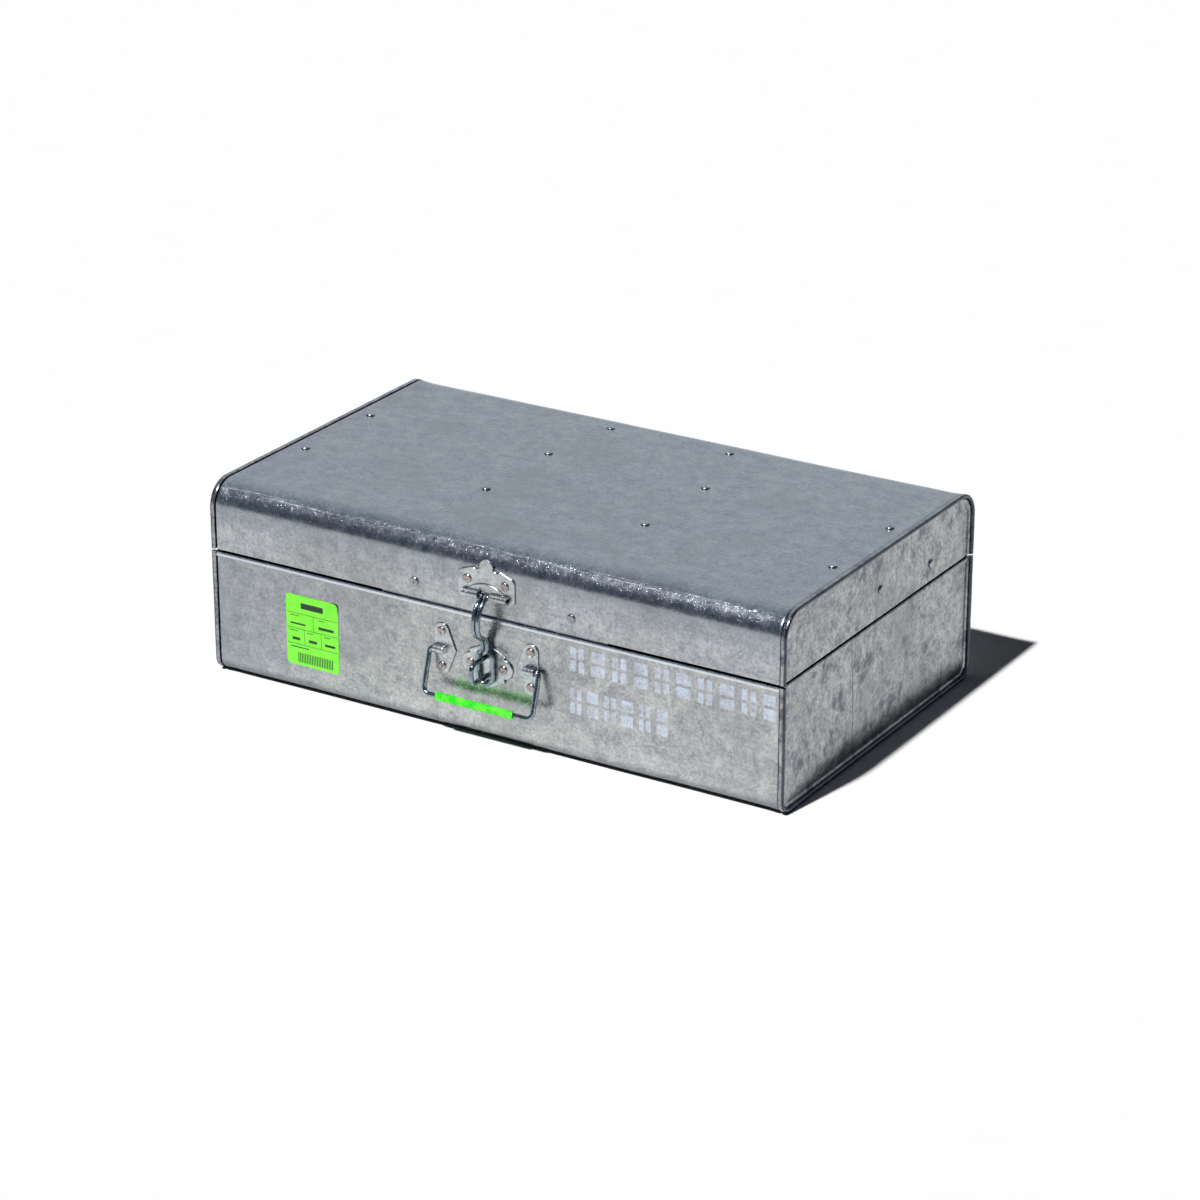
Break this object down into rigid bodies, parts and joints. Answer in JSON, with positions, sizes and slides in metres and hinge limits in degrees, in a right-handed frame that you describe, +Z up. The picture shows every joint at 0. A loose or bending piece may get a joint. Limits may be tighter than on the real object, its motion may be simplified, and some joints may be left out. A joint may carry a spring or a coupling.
{
  "type": "small tin trunk",
  "caption": "Small galvanised sheet trunk with a rolled-edge hinged lid, a wire hasp over a staple for a padlock, and a wire carrying handle with a soft tube grip",
  "frame": {"origin": "on the floor, in the middle of the whole footprint, with the staple in front and the hinges behind counted in", "axes": "+X along the length, towards the right end as seen from the front; -Y out of the front with the hasp and handle; +Z up"},
  "size_m": [0.4, 0.259, 0.1247],
  "materials": {
    "galvanised_sheet": "galvanised sheet, dulled, streaked and mottled with handling",
    "rivets": "plain steel rivets, dull with a faint warm tint",
    "plated_fittings": "pressed fittings, zinc plated and slightly bright",
    "plated_wire": "plated steel wire, smooth and bluish",
    "green_tube": "soft neon green tube, a little see-through",
    "green_label": "plain bright green sticker"
  },
  "bodies": {
    "base": {"base_body": "galvanised_sheet", "base_left_end": "galvanised_sheet", "base_right_end": "galvanised_sheet", "hinge_left_base_leaf": "plated_fittings", "hinge_right_base_leaf": "plated_fittings", "hinge_left_pin": "rivets", "hinge_right_pin": "rivets", "hinge_base_rivets": "rivets", "staple_plate": "plated_fittings", "staple_plate_rivets": "rivets", "staple": "plated_wire", "handle_left_plate": "plated_fittings", "handle_right_plate": "plated_fittings", "handle_plate_rivets": "rivets", "label": "green_label"},
    "lid": {"lid_body": "galvanised_sheet", "lid_left_end": "galvanised_sheet", "lid_right_end": "galvanised_sheet", "lid_front_lip": "galvanised_sheet", "lid_left_lip": "galvanised_sheet", "lid_right_lip": "galvanised_sheet", "lid_front_stiffener": "galvanised_sheet", "lid_rear_stiffener": "galvanised_sheet", "lid_top_rivets": "rivets", "lid_lip_rivets": "rivets", "hinge_left_lid_leaf": "plated_fittings", "hinge_right_lid_leaf": "plated_fittings", "hinge_lid_rivets": "rivets", "hasp_plate": "plated_fittings", "hasp_plate_rivets": "rivets"},
    "hasp": {"hasp": "plated_wire"},
    "handle": {"handle_bail": "plated_wire", "handle_grip": "green_tube"}
  },
  "joints": [
    {"name": "lid_hinge", "type": "hinge", "parent": "base", "child": "lid", "pos_m": [0, 0.12702, 0.0788], "axis": [-1, 0, 0], "range_deg": [0, 180]},
    {"name": "hasp_swing", "type": "hinge", "parent": "lid", "child": "hasp", "pos_m": [0.0005, -0.11243, 0.09399], "axis": [-1, 0, 0], "range_deg": [0, 110]},
    {"name": "handle_swing", "type": "hinge", "parent": "base", "child": "handle", "pos_m": [-0.0003, -0.11267, 0.0532], "axis": [-1, 0, 0], "range_deg": [-15, 125]}
  ]
}
